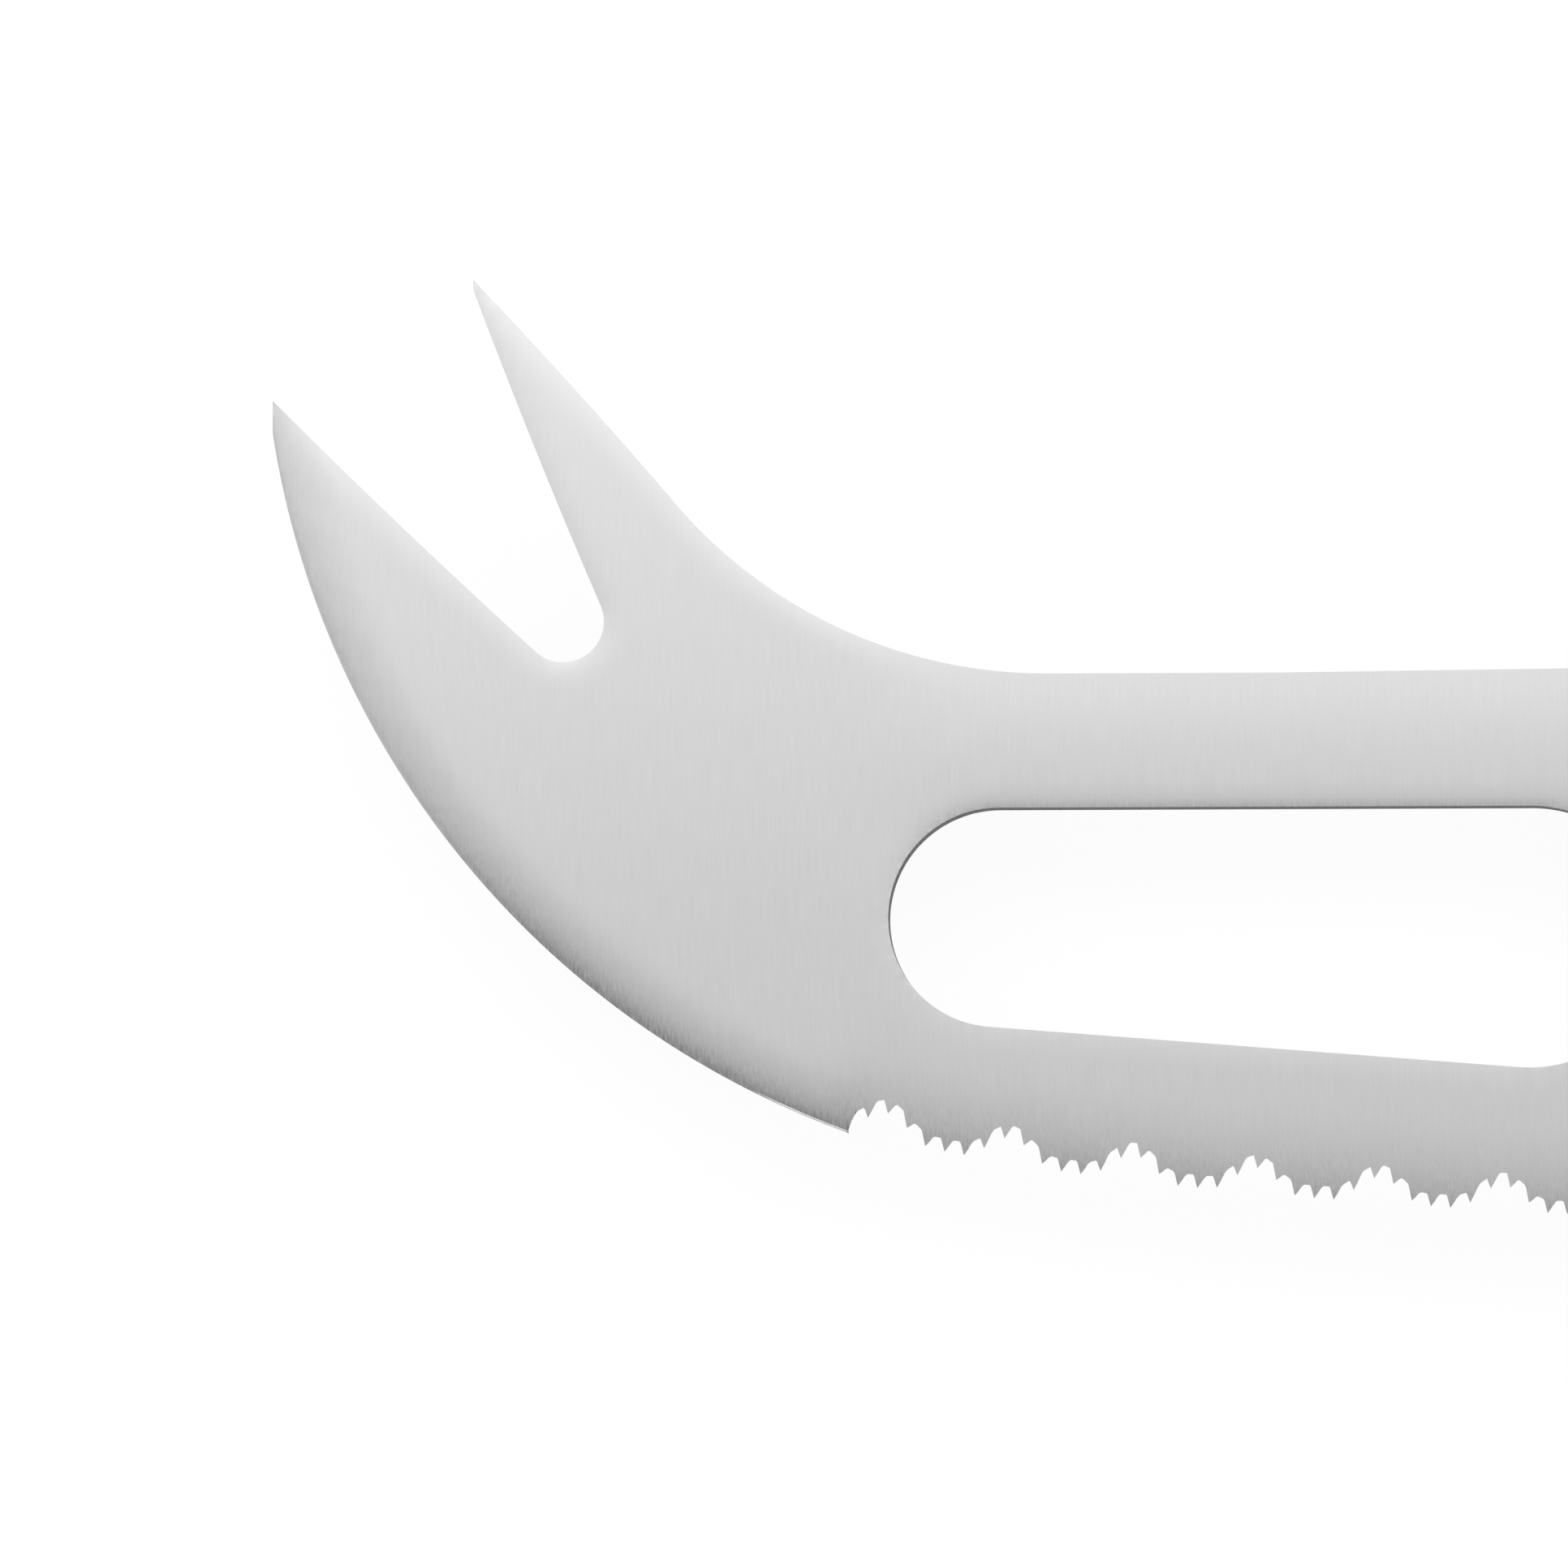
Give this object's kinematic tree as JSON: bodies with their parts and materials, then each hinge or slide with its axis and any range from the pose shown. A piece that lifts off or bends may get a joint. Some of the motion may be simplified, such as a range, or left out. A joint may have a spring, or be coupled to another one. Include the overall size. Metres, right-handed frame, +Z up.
{
  "type": "cheese knife",
  "caption": "Cheese knife: satin steel blade with forked tip, convex plain edge, double-serrated edge and two long windows; riveted black handle with steel bolster.",
  "frame": {"origin": "on the surface that the knife lies on, under the middle of its overall box", "axes": "+X from the forked tip to the butt, +Y from the edge to the spine, +Z up out of the knife's left side, which the picture shows"},
  "size_m": [0.2606, 0.0592, 0.018],
  "materials": {
    "blade_steel": "satin, ground across the blade",
    "bolster_steel": "satin",
    "rivet_steel": "fine satin",
    "scale_plastic": "fine satin moulded black"
  },
  "bodies": {
    "root": {"blade": "blade_steel", "bolster_left": "bolster_steel", "bolster_right": "bolster_steel", "bolster_pins": "rivet_steel", "scale_left": "scale_plastic", "scale_right": "scale_plastic", "rivet_front_male": "rivet_steel", "rivet_front_female": "rivet_steel", "rivet_middle_male": "rivet_steel", "rivet_middle_female": "rivet_steel", "rivet_rear_male": "rivet_steel", "rivet_rear_female": "rivet_steel"}
  },
  "joints": []
}
